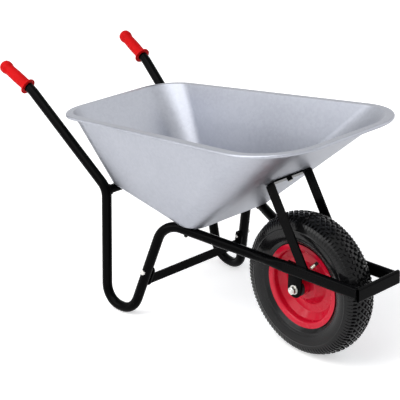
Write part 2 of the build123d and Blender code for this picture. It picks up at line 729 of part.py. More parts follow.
# Tray bolts: round heads on the floor, nuts under the rails and under the cross bar
floor_top = TRAY_SHEET + SEAT_GAP
rail_seats = []
bar_seats = []
for side in (-1, 1):
    rail_seats.append(Plane(floor_plane * Location((TRAY_BOLT_AHEAD, side * rail_bolt_y, floor_top))))
    bar_seats.append(Plane(floor_plane * Location((-bar_back, side * TRAY_BOLT_SPREAD / 2, floor_top))))
rail_grip = floor_top + 2 * SEAT_GAP + TUBE_DIA
bar_grip = floor_top + 2 * SEAT_GAP + CROSS_BAR_DIA
publish(bolt_set(rail_seats, TRAY_BOLT_DIA, rail_grip, TRAY_BOLT_HEAD_DIA), "tray_front_bolts")
publish(nut_set(rail_seats, TRAY_BOLT_DIA, rail_grip), "tray_front_nuts")
publish(bolt_set(bar_seats, TRAY_BOLT_DIA, bar_grip, TRAY_BOLT_HEAD_DIA), "tray_rear_bolts")
publish(nut_set(bar_seats, TRAY_BOLT_DIA, bar_grip), "tray_rear_nuts")

# Brace bolts: heads on the outer sides of the legs, nuts on the tabs
brace_seats = [turned_over(limb_plane(side)).offset(tab_seat) for side in (-1, 1)]
brace_grip = 2 * tab_seat + BRACE_THICKNESS + SEAT_GAP
publish(bolt_set(brace_seats, BRACE_BOLT_DIA, brace_grip), "brace_bolts")
publish(nut_set(brace_seats, BRACE_BOLT_DIA, brace_grip), "brace_nuts")

# Support bolt: its head inside the tray, its nut under the top of the support
support_seat = turned_over(wall_plane).offset(floor_top)
support_grip = floor_top + 2 * SEAT_GAP + SUPPORT_THICKNESS
publish(bolt_set([support_seat], SUPPORT_BOLT_DIA, support_grip, SUPPORT_BOLT_HEAD_DIA), "support_bolt")
publish(nut_set([support_seat], SUPPORT_BOLT_DIA, support_grip), "support_nut")
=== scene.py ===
# %% [markdown]
# # A garden wheelbarrow
# The solids of the barrow come from its CAD model and stay where they are. This lesson adds what a
# plain solid lacks: a photo studio, a finish for each material, a tyre with its tread, and the small
# marks of how such a barrow is put together. All lengths are in metres, unless a line says otherwise.

# %% Load the frame
import json
from math import asin, cos, pi, radians, sin, sqrt

import bpy
from mathutils import Matrix, Vector


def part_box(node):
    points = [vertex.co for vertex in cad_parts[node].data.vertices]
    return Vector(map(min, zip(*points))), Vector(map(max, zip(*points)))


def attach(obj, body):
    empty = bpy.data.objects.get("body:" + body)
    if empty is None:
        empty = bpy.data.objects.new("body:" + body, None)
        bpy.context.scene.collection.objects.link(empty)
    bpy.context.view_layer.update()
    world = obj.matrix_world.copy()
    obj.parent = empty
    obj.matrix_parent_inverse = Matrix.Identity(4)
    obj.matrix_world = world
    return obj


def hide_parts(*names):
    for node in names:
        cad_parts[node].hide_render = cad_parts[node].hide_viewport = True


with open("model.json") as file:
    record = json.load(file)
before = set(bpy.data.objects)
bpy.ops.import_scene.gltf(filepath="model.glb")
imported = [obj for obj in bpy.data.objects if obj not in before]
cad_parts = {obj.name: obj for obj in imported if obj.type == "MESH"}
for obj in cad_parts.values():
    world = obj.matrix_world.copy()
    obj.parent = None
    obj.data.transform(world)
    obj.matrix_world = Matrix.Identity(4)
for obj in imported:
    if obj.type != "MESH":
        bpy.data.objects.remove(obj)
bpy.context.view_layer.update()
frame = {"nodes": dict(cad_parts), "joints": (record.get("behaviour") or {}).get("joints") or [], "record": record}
nodes = frame["nodes"]
wheel_centre = Vector(frame["joints"][0]["pos_m"])
print("nodes:", len(nodes), "wheel centre:", tuple(wheel_centre))

# %% [markdown]
# ## The camera
# A product photo is taken from far away with a long lens, so that the near and far grips keep nearly
# the same size. The camera stands in front of the wheel and to the right of the barrow, a little
# above its rim, and looks at the middle of the frame. Two angles and a distance place it, because they
# can be changed one at a time while the picture is compared with the photo.

# %% Camera
LOOK_AT = Vector((-0.0332, 0.0, 0.3027))
AZIMUTH = radians(46.27)
ELEVATION = radians(22.81)
CAMERA_DISTANCE = 3.9368
SENSOR_WIDTH_MM = 36.0
LENS_MM = 127.24
FARTHEST_SEEN = 60.0

towards_camera = Vector((
    sin(AZIMUTH) * cos(ELEVATION),
    -cos(AZIMUTH) * cos(ELEVATION),
    sin(ELEVATION),
))
bpy.ops.object.camera_add(location=LOOK_AT + towards_camera * CAMERA_DISTANCE)
camera = bpy.context.object
camera.name = "studio_camera"
camera.rotation_euler = towards_camera.to_track_quat("Z", "Y").to_euler()
camera.data.sensor_width = SENSOR_WIDTH_MM
camera.data.lens = LENS_MM
camera.data.clip_end = FARTHEST_SEEN
bpy.context.scene.camera = camera
print("camera at", tuple(round(v, 3) for v in camera.location))

# %% [markdown]
# ## The studio
# The photo has a white ground with soft shadows. More light could make the floor white, but it would
# bleach the barrow too. So the world is white only where it is seen, by the camera or as a reflection
# in metal. As a light it is a room with a bright side and a dim side, which gives the barrow its form.

# %% What shows the background


def shows_background(tree):
    """Is 1 for what the camera sees, straight or in metal and glass, and 0 for plain light."""
    path = tree.nodes.new("ShaderNodeLightPath")
    shown = path.outputs["Is Camera Ray"]
    for ray in ("Is Glossy Ray", "Is Transmission Ray"):
        either = tree.nodes.new("ShaderNodeMath")
        either.operation = "MAXIMUM"
        tree.links.new(shown, either.inputs[0])
        tree.links.new(path.outputs[ray], either.inputs[1])
        shown = either.outputs["Value"]
    return shown


WHITE = (1.0, 1.0, 1.0, 1.0)
print("the background is white for the camera and in reflections")

# %% World
BRIGHT_SIDE = (-0.55, -0.75, 0.36)
SIDE_REACH = 0.9
DIM_TONE = (0.10, 0.13, 0.18, 1.0)
BRIGHT_TONE = (0.78, 0.78, 0.78, 1.0)

scene = bpy.context.scene
scene.view_settings.view_transform = "Standard"
world = bpy.data.worlds.new("studio_world")
scene.world = world
world.use_nodes = True
sky = world.node_tree.nodes
sky_links = world.node_tree.links
direction = sky.new("ShaderNodeTexCoord")
towards_bright = sky.new("ShaderNodeVectorMath")
towards_bright.operation = "DOT_PRODUCT"
towards_bright.inputs[1].default_value = BRIGHT_SIDE
sky_links.new(direction.outputs["Generated"], towards_bright.inputs[0])
room_side = sky.new("ShaderNodeMapRange")
room_side.inputs["From Min"].default_value = -SIDE_REACH
room_side.inputs["From Max"].default_value = SIDE_REACH
sky_links.new(towards_bright.outputs["Value"], room_side.inputs["Value"])
room_tone = sky.new("ShaderNodeValToRGB")
room_tone.color_ramp.elements[0].color = DIM_TONE
room_tone.color_ramp.elements[1].color = BRIGHT_TONE
sky_links.new(room_side.outputs["Result"], room_tone.inputs["Fac"])
room = sky["Background"]
sky_links.new(room_tone.outputs["Color"], room.inputs["Color"])
backdrop = sky.new("ShaderNodeBackground")
backdrop.inputs["Color"].default_value = WHITE
seen = sky.new("ShaderNodeMixShader")
sky_links.new(shows_background(world.node_tree), seen.inputs[0])
sky_links.new(room.outputs["Background"], seen.inputs[1])
sky_links.new(backdrop.outputs["Background"], seen.inputs[2])
sky_links.new(seen.outputs["Shader"], sky["World Output"].inputs["Surface"])
print("world ready, bright towards", BRIGHT_SIDE)

# %% [markdown]
# ### The floor
# The floor is a very large pale disc. A plain white one looks grey, because it only gives back part of
# the light, so it gets a glow of its own where it is seen. The glow is weaker near the barrow, so that
# the shadows stay, and full further off, so that the floor ends in white.

# %% Floor
FLOOR_RADIUS = 30.0
FLOOR_SIDES = 96
FLOOR_TONE = (0.90, 0.89, 0.88, 1.0)
FLOOR_ROUGHNESS = 0.9
FLOOR_SHINE = 0.1
GLOW_GROWS_FROM = 1.5
GLOW_FULL_AT = 6.0
NEAR_GLOW = 0.48

bpy.ops.object.select_all(action="DESELECT")
bpy.ops.mesh.primitive_circle_add(vertices=FLOOR_SIDES, radius=FLOOR_RADIUS, fill_type="NGON")
floor = bpy.context.object
floor.name = "studio_floor"
floor_paint = bpy.data.materials.new("floor_white")
floor_paint.use_nodes = True
floor_nodes = floor_paint.node_tree.nodes
floor_links = floor_paint.node_tree.links
floor_shader = floor_nodes["Principled BSDF"]
floor_shader.inputs["Base Color"].default_value = FLOOR_TONE
floor_shader.inputs["Roughness"].default_value = FLOOR_ROUGHNESS
floor_shader.inputs["Specular IOR Level"].default_value = FLOOR_SHINE
floor_shader.inputs["Emission Color"].default_value = WHITE
floor_place = floor_nodes.new("ShaderNodeTexCoord")
away = floor_nodes.new("ShaderNodeVectorMath")
away.operation = "LENGTH"
floor_links.new(floor_place.outputs["Object"], away.inputs[0])
glow = floor_nodes.new("ShaderNodeMapRange")
glow.inputs["From Min"].default_value = GLOW_GROWS_FROM
glow.inputs["From Max"].default_value = GLOW_FULL_AT
glow.inputs["To Min"].default_value = NEAR_GLOW
floor_links.new(away.outputs["Value"], glow.inputs["Value"])
seen_glow = floor_nodes.new("ShaderNodeMath")
seen_glow.operation = "MULTIPLY"
floor_links.new(shows_background(floor_paint.node_tree), seen_glow.inputs[0])
floor_links.new(glow.outputs["Result"], seen_glow.inputs[1])
floor_links.new(seen_glow.outputs["Value"], floor_shader.inputs["Emission Strength"])
floor.data.materials.append(floor_paint)
print("floor ready, radius", FLOOR_RADIUS)

# %% [markdown]
# ## The lamps
# The shadows of the photo are soft and fall to the front and the far side, so the main light comes from
# the barrow's right side and a little from behind. A sun would draw hard edges; square area lamps are
# used because their size sets how soft the shadow is. The key lamp stands there, the top lamp hangs
# over the right side and lights the inside of the tray, the side lamp draws highlights on tyre and
# rim, and a weak edge lamp at the far front opens up the dark side.

# %% Lamps


def soft_lamp(name, place, aim, size, watts):
    """A square area lamp that looks at a point."""
    bpy.ops.object.light_add(type="AREA", location=place)
    lamp = bpy.context.object
    lamp.name = name
    lamp.data.size = size
    lamp.data.energy = watts
    lamp.rotation_euler = (Vector(place) - Vector(aim)).to_track_quat("Z", "Y").to_euler()
    print(name, "at", place)


soft_lamp("key_lamp", place=(-1.8, -3.6, 2.0), aim=(0.0, 0.0, 0.35), size=2.2, watts=50.0)
soft_lamp("side_lamp", place=(0.1, -3.2, 2.2), aim=(0.2, 0.0, 0.3), size=1.7, watts=15.0)
soft_lamp("top_lamp", place=(-0.1, -1.8, 3.7), aim=(0.1, 0.0, 0.4), size=2.6, watts=76.0)
soft_lamp("edge_lamp", place=(2.2, 2.8, 2.6), aim=(0.0, 0.0, 0.4), size=1.8, watts=14.0)

# %% [markdown]
# ## Finishes
# Each finish is a small tree of nodes on Object coordinates, which stay with the piece as it moves. An
# image could hold such detail too, but it would have to be unwrapped onto every piece. A helper makes
# the empty material with its coordinates; the cells after it add what is special: the spangle of zinc
# on sheet steel, the orange peel of sprayed paint, the grain of moulded rubber.

# %% Helpers for finishes
CLOUD_LOW = 0.3
CLOUD_HIGH = 0.7


def new_finish(name):
    """A material with its shader and its object coordinates."""
    finish = bpy.data.materials.new(name)
    finish.use_nodes = True
    tree = finish.node_tree
    shader = tree.nodes["Principled BSDF"]
    place = tree.nodes.new("ShaderNodeTexCoord").outputs["Object"]
    return finish, tree, shader, place


def noise(tree, place, scale, detail, roughness=0.5):
    """A cloudy value from 0 to 1, mostly between CLOUD_LOW and CLOUD_HIGH."""
    node = tree.nodes.new("ShaderNodeTexNoise")
    node.inputs["Scale"].default_value = scale
    node.inputs["Detail"].default_value = detail
    node.inputs["Roughness"].default_value = roughness
    tree.links.new(place, node.inputs["Vector"])
    return node.outputs["Fac"]


def spread(tree, value, low, high):
    """Stretches a cloudy value to run from low to high."""
    node = tree.nodes.new("ShaderNodeMapRange")
    node.inputs["From Min"].default_value = CLOUD_LOW
    node.inputs["From Max"].default_value = CLOUD_HIGH
    node.inputs["To Min"].default_value = low
    node.inputs["To Max"].default_value = high
    tree.links.new(value, node.inputs["Value"])
    return node.outputs["Result"]


def two_tones(tree, value, dark, light):
    """Turns a cloudy value into a colour between two tones."""
    ramp = tree.nodes.new("ShaderNodeValToRGB")
    ramp.color_ramp.elements[0].position = CLOUD_LOW
    ramp.color_ramp.elements[0].color = (*dark, 1.0)
    ramp.color_ramp.elements[1].position = CLOUD_HIGH
    ramp.color_ramp.elements[1].color = (*light, 1.0)
    tree.links.new(value, ramp.inputs["Fac"])
    return ramp.outputs["Color"]


def relief(tree, shader, height, depth):
    """Feeds a height into the shader's normal, as a bump of a given depth."""
    bump = tree.nodes.new("ShaderNodeBump")
    bump.inputs["Strength"].default_value = 1.0
    bump.inputs["Distance"].default_value = depth
    tree.links.new(height, bump.inputs["Height"])
    tree.links.new(bump.outputs["Normal"], shader.inputs["Normal"])


finishes = {}
print("finish helpers ready")

# %% [markdown]
# ### Galvanised sheet
# The tray is zinc-coated steel. It is a soft grey mirror: fully metallic, fairly rough, with crystals
# of zinc some millimetres wide that differ a little in tone, and a slow cloud of tone over them. Voronoi
# cells are used for the crystals, because they meet along straight edges as zinc crystals do.

# %% Galvanised sheet
ZINC_DARK = (0.35, 0.364, 0.408)
ZINC_LIGHT = (0.41, 0.424, 0.468)
CRYSTALS_PER_METRE = 150.0
CRYSTAL_SHARE = 0.25
SKIN_DEPTH = 0.00002

finish, tree, shader, place = new_finish("galvanised_sheet")
crystals = tree.nodes.new("ShaderNodeTexVoronoi")
crystals.inputs["Scale"].default_value = CRYSTALS_PER_METRE
tree.links.new(place, crystals.inputs["Vector"])
crystal_tone = tree.nodes.new("ShaderNodeSeparateColor")
tree.links.new(crystals.outputs["Color"], crystal_tone.inputs["Color"])
mixed = tree.nodes.new("ShaderNodeMix")
mixed.inputs["Factor"].default_value = CRYSTAL_SHARE
tree.links.new(noise(tree, place, scale=5.0, detail=3.0), mixed.inputs["A"])
tree.links.new(crystal_tone.outputs["Red"], mixed.inputs["B"])
tone = mixed.outputs["Result"]
tree.links.new(two_tones(tree, tone, ZINC_DARK, ZINC_LIGHT), shader.inputs["Base Color"])
tree.links.new(spread(tree, tone, low=0.39, high=0.48), shader.inputs["Roughness"])
shader.inputs["Metallic"].default_value = 1.0
relief(tree, shader, noise(tree, place, scale=260.0, detail=2.0), SKIN_DEPTH)
finishes["galvanised_sheet"] = finish
print("galvanised_sheet ready")

# %% [markdown]
# ### Paint
# Frame, rim and hub are sprayed and baked. A skin of paint is not quite flat: a fine, shallow bump
# breaks up the highlights as orange peel does. The red paint also has a clear coat over its colour. The
# black gets none, because in the photo its highlights are faint.

# %% Paints
PEEL_DEPTH = 0.00006
COAT_ROUGHNESS = 0.05


def paint(name, dark, light, roughness, shine, coat):
    """A sprayed paint with a little orange peel, and a clear coat where coat is above 0."""
    finish, tree, shader, place = new_finish(name)
    cloud = noise(tree, place, scale=9.0, detail=3.0)
    tree.links.new(two_tones(tree, cloud, dark, light), shader.inputs["Base Color"])
    patches = noise(tree, place, scale=40.0, detail=4.0)
    tree.links.new(spread(tree, patches, *roughness), shader.inputs["Roughness"])
    shader.inputs["Specular IOR Level"].default_value = shine
    shader.inputs["Coat Weight"].default_value = coat
    shader.inputs["Coat Roughness"].default_value = COAT_ROUGHNESS
    relief(tree, shader, noise(tree, place, scale=380.0, detail=1.0), PEEL_DEPTH)
    finishes[name] = finish
    print(name, "ready")


paint(
    "black_paint",
    dark=(0.0010, 0.0010, 0.0012),
    light=(0.0018, 0.0018, 0.0020),
    roughness=(0.15, 0.24),
    shine=0.03,
    coat=0.0,
)
paint(
    "red_paint",
    dark=(0.52, 0.005, 0.024),
    light=(0.60, 0.007, 0.031),
    roughness=(0.20, 0.30),
    shine=0.10,
    coat=0.25,
)

# %% [markdown]
# ### Rubber and plastic
# The tyre is dark and satin, with dust-fine grain and a slow change of gloss. The grips are a soft
# moulded plastic whose skin scatters light more than paint does. One helper makes them all, because
# they differ only in tone, in gloss and in the size of their grain.

# %% Rubber and plastic


def moulded(name, dark, light, roughness, shine, grain, depth):
    """A moulded rubber or plastic with a fine grain."""
    finish, tree, shader, place = new_finish(name)
    cloud = noise(tree, place, scale=14.0, detail=4.0)
    tree.links.new(two_tones(tree, cloud, dark, light), shader.inputs["Base Color"])
    patches = noise(tree, place, scale=60.0, detail=3.0)
    tree.links.new(spread(tree, patches, *roughness), shader.inputs["Roughness"])
    shader.inputs["Specular IOR Level"].default_value = shine
    relief(tree, shader, noise(tree, place, scale=grain, detail=2.0), depth)
    finishes[name] = finish
    print(name, "ready")


moulded(
    "tyre_rubber",
    dark=(0.004, 0.004, 0.0044),
    light=(0.008, 0.008, 0.0084),
    roughness=(0.16, 0.26),
    shine=0.20,
    grain=700.0,
    depth=0.00006,
)
moulded(
    "tube_rubber",
    dark=(0.016, 0.016, 0.016),
    light=(0.026, 0.026, 0.026),
    roughness=(0.55, 0.70),
    shine=0.30,
    grain=500.0,
    depth=0.00008,
)
moulded(
    "red_grip",
    dark=(0.48, 0.003, 0.004),
    light=(0.55, 0.004, 0.005),
    roughness=(0.42, 0.52),
    shine=0.06,
    grain=900.0,
    depth=0.00006,
)
moulded(
    "cap_plastic",
    dark=(0.012, 0.012, 0.012),
    light=(0.020, 0.020, 0.020),
    roughness=(0.40, 0.50),
    shine=0.35,
    grain=900.0,
    depth=0.00005,
)

# %% [markdown]
# ### Bright metal
# The bolts and the axle with its nuts, washers and spacers are zinc plated, the bearings are ground
# steel, and the valve's cap is nickel on brass. All three are metals that differ in tone and in how
# rough they are, so they share one helper with faint stains.

# %% Bright metals
STAIN_DEPTH = 0.00003


def plated(name, dark, light, roughness):
    """A plated or ground metal with faint stains."""
    finish, tree, shader, place = new_finish(name)
    cloud = noise(tree, place, scale=70.0, detail=4.0, roughness=0.6)
    tree.links.new(two_tones(tree, cloud, dark, light), shader.inputs["Base Color"])
    patches = noise(tree, place, scale=160.0, detail=3.0)
    tree.links.new(spread(tree, patches, *roughness), shader.inputs["Roughness"])
    shader.inputs["Metallic"].default_value = 1.0
    relief(tree, shader, noise(tree, place, scale=1200.0, detail=2.0), STAIN_DEPTH)
    finishes[name] = finish
    print(name, "ready")


plated("zinc_steel", dark=(0.56, 0.55, 0.52), light=(0.70, 0.69, 0.66), roughness=(0.24, 0.38))
plated("bearing_steel", dark=(0.50, 0.50, 0.51), light=(0.62, 0.62, 0.63), roughness=(0.16, 0.26))
plated("valve_metal", dark=(0.62, 0.58, 0.48), light=(0.74, 0.70, 0.60), roughness=(0.18, 0.30))

# %% [markdown]
# ## Dressing the solids
# Most solids only need a finish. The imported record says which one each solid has, so they are dressed
# in one loop, and a solid that is added later is dressed with the rest.

# %% Dress the solids


def dress(piece, finish_name):
    """Gives a piece one finish all over."""
    piece.data.materials.clear()
    piece.data.materials.append(finishes[finish_name])


for subpart in frame["record"]["subparts"]:
    dress(nodes[subpart["node"]], subpart["material_slot"])

# %% [markdown]
# ## The tyre
# A tyre is a solid of revolution with rubber blocks on it. The bare carcass could be a bent torus, but
# an outline spun round the axle follows the real section. Its side walls follow one arc from the rim to
# the shoulder, with raised rings from the mould. Its crown is lower than the solid's, because the
# blocks bring it back to full size.

# %% Turned pieces
MERGE_DISTANCE = 0.00001
TURNED_SMOOTH = radians(35)


def turned(name, outline, steps, place):
    """Spins a closed outline of (radius, height) round the Z axis, then sets it in its place."""
    bpy.ops.object.select_all(action="DESELECT")
    bpy.ops.mesh.primitive_circle_add(vertices=len(outline), radius=0.01)
    piece = bpy.context.object
    piece.name = name
    for vertex, (radius, height) in zip(piece.data.vertices, outline):
        vertex.co = (radius, 0.0, height)
    bpy.ops.object.mode_set(mode="EDIT")
    bpy.ops.mesh.select_all(action="SELECT")
    bpy.ops.mesh.spin(steps=steps, angle=2 * pi, center=(0.0, 0.0, 0.0), axis=(0.0, 0.0, 1.0))
    bpy.ops.mesh.select_all(action="SELECT")
    bpy.ops.mesh.remove_doubles(threshold=MERGE_DISTANCE)
    bpy.ops.mesh.normals_make_consistent(inside=False)
    bpy.ops.object.mode_set(mode="OBJECT")
    piece.data.transform(place)
    bpy.ops.object.shade_smooth_by_angle(angle=TURNED_SMOOTH)
    return piece


def mirrored(half_outline):
    """The other half of an outline, from its end back to its start."""
    return [(radius, -height) for radius, height in reversed(half_outline)]


def hand_in(piece, body, finish_name, *solids):
    """Dresses a new piece, sets it on its body and hides the solids it stands in for."""
    dress(piece, finish_name)
    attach(piece, body)
    if solids:
        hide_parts(*solids)
    print(piece.name, "faces:", len(piece.data.polygons))


wheel_place = Matrix.Translation(wheel_centre) @ Matrix.Rotation(-pi / 2, 4, "X")
print("turned pieces of the wheel stand at", tuple(wheel_place.translation))

# %% Carcass
TYRE_RADIUS = 0.195
CROWN_RADIUS = 0.0677
CROWN_HALF = 0.0335
CROWN_STEPS = 9
TREAD_DEPTH = 0.0045
SIDE_CENTRE = 0.15402
SIDE_RADIUS = 0.05072
SIDE_INSET = 0.00391
SIDE_START = 0.1185
SIDE_RISE = 0.0625
SIDE_STEPS = 32
MOULD_RINGS = ((0.1250, 0.1290), (0.1575, 0.1600))
RING_HEIGHT = 0.0009
BEAD = [(0.1017, 0.0192), (0.1017, 0.0262), (0.1066, 0.0316), (0.1172, 0.0317)]
INSIDE = [(0.178, 0.018), (0.165, 0.032), (0.140, 0.036), (0.118, 0.0275)]
CARCASS_STEPS = 160


def side_width(radius):
    """Half the tyre's width at a distance from the axle."""
    return sqrt(SIDE_RADIUS**2 - (radius - SIDE_CENTRE) ** 2) - SIDE_INSET


def crown_height(along, depth=0.0):
    """The tread's distance from the axle, at a distance from the middle of the tyre."""
    return TYRE_RADIUS - CROWN_RADIUS + sqrt((CROWN_RADIUS - depth) ** 2 - along**2)


tyre_half = list(BEAD)
for step in range(SIDE_STEPS):
    radius = SIDE_START + SIDE_RISE * step / (SIDE_STEPS - 1)
    width = side_width(radius)
    if any(low < radius < high for low, high in MOULD_RINGS):
        width += RING_HEIGHT
    tyre_half.append((radius, width))
for step in range(CROWN_STEPS):
    along = CROWN_HALF * (1 - step / CROWN_STEPS)
    tyre_half.append((crown_height(along, TREAD_DEPTH), along))
crown_middle = [(TYRE_RADIUS - TREAD_DEPTH, 0.0)]
tyre_outline = tyre_half + crown_middle + mirrored(tyre_half) + mirrored(INSIDE) + INSIDE
carcass = turned("tyre_carcass", tyre_outline, CARCASS_STEPS, wheel_place)
hand_in(carcass, "wheel", "tyre_rubber", "tyre")

# %% [markdown]
# ## The tread
# Small blocks sit in staggered rows round the crown. They could be cut out of the carcass, but adding
# them is cleaner: one block is shaped from a cube, set at the top of the wheel, and then repeated round
# the axle by spin with copies.

# %% Repeating round the wheel
TREAD_SMOOTH = radians(30)


def cube_start(name, length, width, height):
    """A cube of a given size, with its size in its mesh."""
    bpy.ops.object.select_all(action="DESELECT")
    bpy.ops.mesh.primitive_cube_add(size=1.0, scale=(length, width, height))
    bpy.ops.object.transform_apply(location=True, rotation=True, scale=True)
    bpy.context.object.name = name
    return bpy.context.object


def round_the_wheel(piece, count):
    """Repeats a shape that sits at the top of the wheel, evenly all the way round."""
    bpy.ops.object.mode_set(mode="EDIT")
    bpy.ops.mesh.select_all(action="SELECT")
    bpy.ops.mesh.spin(
        steps=count - 1,
        dupli=True,
        angle=2 * pi * (count - 1) / count,
        center=wheel_centre,
        axis=(0.0, 1.0, 0.0),
    )
    bpy.ops.object.mode_set(mode="OBJECT")
    bpy.ops.object.shade_smooth_by_angle(angle=TREAD_SMOOTH)
    hand_in(piece, "wheel", "tyre_rubber")


print("tread pieces start at", wheel_centre.z + TYRE_RADIUS, "above the ground")

# %% Crown blocks
BLOCK_COUNT = 64
BLOCK_LENGTH = 0.0120
BLOCK_WIDTH = 0.0090
BLOCK_HEIGHT = 0.0075
BLOCK_TAPER = 0.78
BLOCK_BEVEL = 0.0007
INNER_ROW = 0.0105
OUTER_ROW = 0.0210
ROW_YAW = radians(24)


def crown_row(name, along, yaw, phase):
    """One row of tapered blocks, leaning with the crown and turned a little in plan."""
    block = cube_start(name, BLOCK_LENGTH, BLOCK_WIDTH, BLOCK_HEIGHT)
    for face in block.data.polygons:
        face.select = face.normal.z > 0.9
    bpy.ops.object.mode_set(mode="EDIT")
    bpy.ops.mesh.select_mode(type="FACE")
    bpy.ops.transform.resize(value=(BLOCK_TAPER, BLOCK_TAPER, 1.0))
    bpy.ops.mesh.select_all(action="SELECT")
    bpy.ops.mesh.bevel(offset=BLOCK_BEVEL, segments=1)
    bpy.ops.object.mode_set(mode="OBJECT")
    lean = asin(along / CROWN_RADIUS)
    block.data.transform(
        Matrix.Translation(wheel_centre)
        @ Matrix.Rotation(2 * pi * phase / BLOCK_COUNT, 4, "Y")
        @ Matrix.Translation((0.0, along, crown_height(along)))
        @ Matrix.Rotation(-lean, 4, "X")
        @ Matrix.Rotation(yaw, 4, "Z")
        @ Matrix.Translation((0.0, 0.0, -BLOCK_HEIGHT / 2))
    )
    round_the_wheel(block, BLOCK_COUNT)


SIDES = ((1, "left"), (-1, "right"))
crown_row("tread_middle", along=0.0, yaw=0.0, phase=0.0)
for side, word in SIDES:
    crown_row(f"tread_inner_{word}", along=side * INNER_ROW, yaw=side * ROW_YAW, phase=0.5)
    crown_row(f"tread_outer_{word}", along=side * OUTER_ROW, yaw=-side * ROW_YAW, phase=0.0)

# %% [markdown]
# ### Shoulder ribs
# Narrow ribs, more of them than blocks, run over each shoulder and a little way down the side wall. A
# rib bends with the tyre, so a cube is cut into slices along its length, and the points of each slice
# are set square to a line down the shoulder. A rib is narrower at its top than at its root.

# %% Shoulder ribs
RIB_COUNT = 112
RIB_ROOT = 0.0050
RIB_HALF = 0.0030
RIB_TOP_SHARE = 0.72
RIB_LINE = [
    (0.1882, 0.0293), (0.1863, 0.0333), (0.1840, 0.0370),
    (0.1785, 0.0404), (0.1720, 0.0434), (0.1650, 0.0457),
]
RIB_RISE = [0.0002, 0.0003, 0.0010, 0.0016, 0.0015, 0.0002]
last_stop = len(RIB_LINE) - 1

for side, word in SIDES:
    rib = cube_start(f"shoulder_ribs_{word}", 1.0, 1.0, 1.0)
    bpy.ops.object.mode_set(mode="EDIT")
    bpy.ops.mesh.select_mode(type="EDGE")
    bpy.ops.mesh.select_all(action="DESELECT")
    bpy.ops.object.mode_set(mode="OBJECT")
    for edge in rib.data.edges:
        ends = [rib.data.vertices[v].co for v in edge.vertices]
        edge.select = abs(ends[0].y - ends[1].y) > 0.5
    bpy.ops.object.mode_set(mode="EDIT")
    bpy.ops.mesh.subdivide(number_cuts=last_stop - 1)
    bpy.ops.object.mode_set(mode="OBJECT")
    for vertex in rib.data.vertices:
        stop = round((vertex.co.y + 0.5) * last_stop)
        before = RIB_LINE[max(stop - 1, 0)]
        after = RIB_LINE[min(stop + 1, last_stop)]
        run = Vector((after[0] - before[0], after[1] - before[1])).normalized()
        out = Vector((run.y, -run.x))
        top = vertex.co.z > 0.0
        reach = RIB_RISE[stop] if top else -RIB_ROOT
        height = RIB_LINE[stop][0] + out.x * reach
        along = RIB_LINE[stop][1] + out.y * reach
        half_width = RIB_HALF * (RIB_TOP_SHARE if top else 1.0)
        vertex.co = wheel_centre + Vector((vertex.co.x * 2 * half_width, side * along, height))
    bpy.ops.object.mode_set(mode="EDIT")
    bpy.ops.mesh.select_all(action="SELECT")
    bpy.ops.mesh.normals_make_consistent(inside=False)
    bpy.ops.object.mode_set(mode="OBJECT")
    round_the_wheel(rib, RIB_COUNT)

# %% [markdown]
# ## Grips
# Each grip is a soft sleeve pushed over the tube's end: a thin flange keeps the hand off the tube, the
# body swells a little in the middle, and a round knob stops the hand at the end. It is round all over,
# so it is turned as the tyre is, from an outline with no sharp corner except at the tube.

# %% Grips
GRIP_TIP = Vector((wheel_centre.x - 0.997, 0.227, 0.616))
GRIP_RUN = Vector((-0.117, 0.012, 0.054)).normalized()
GRIP_LENGTH = 0.113
GRIP_BORE = 0.01405
GRIP_BORE_END = 0.1042
GRIP_STEPS = 64
flange = [
    (0.0230, 0.0), (0.0238, 0.0006), (0.0240, 0.0020), (0.0239, 0.0036), (0.0232, 0.0047),
    (0.0205, 0.0054), (0.0180, 0.0066), (0.0168, 0.0088), (0.01635, 0.0120),
]
hand_hold = [
    (0.0163, 0.0200), (0.0166, 0.0320), (0.0169, 0.0450), (0.0167, 0.0580), (0.0163, 0.0690),
    (0.0160, 0.0770), (0.0162, 0.0820),
]
knob = [
    (0.0172, 0.0862), (0.0184, 0.0900), (0.0190, 0.0945), (0.0188, 0.0990), (0.0177, 0.1040),
    (0.0155, 0.1082), (0.0120, 0.1112), (0.0075, 0.1126), (0.0030, GRIP_LENGTH), (0.0, GRIP_LENGTH),
]
grip_outline = [(GRIP_BORE, 0.0)] + flange + hand_hold + knob
grip_outline += [(0.0, GRIP_BORE_END), (GRIP_BORE, GRIP_BORE_END)]

for side, word in SIDES:
    tip = Vector((GRIP_TIP.x, side * GRIP_TIP.y, GRIP_TIP.z))
    run = Vector((GRIP_RUN.x, side * GRIP_RUN.y, GRIP_RUN.z))
    turn = run.to_track_quat("Z", "Y").to_matrix().to_4x4()
    grip_place = Matrix.Translation(tip - run * GRIP_LENGTH) @ turn
    grip = turned(f"{word}_grip_sleeve", grip_outline, GRIP_STEPS, grip_place)
    hand_in(grip, "barrow", "red_grip", f"{word}_grip")

# %% [markdown]
# ## Nuts and threads
# A real nut has its six corners cut back by a cone. A bevel would cut all edges alike, so a turned blank
# with chamfered ends is cut by a cylinder with six sides instead. The same helper makes a bolt's head,
# which has no bore. A thread is a zigzag along the rod's outline, and is turned with it.

# %% Nuts and threads
BORE_BREAK = 0.0006
FACE_SHARE = 0.96
CHAMFER_SLOPE = 0.58
THREAD_SHARE = 0.4
NUT_STEPS = 96
NUT_SMOOTH = radians(25)


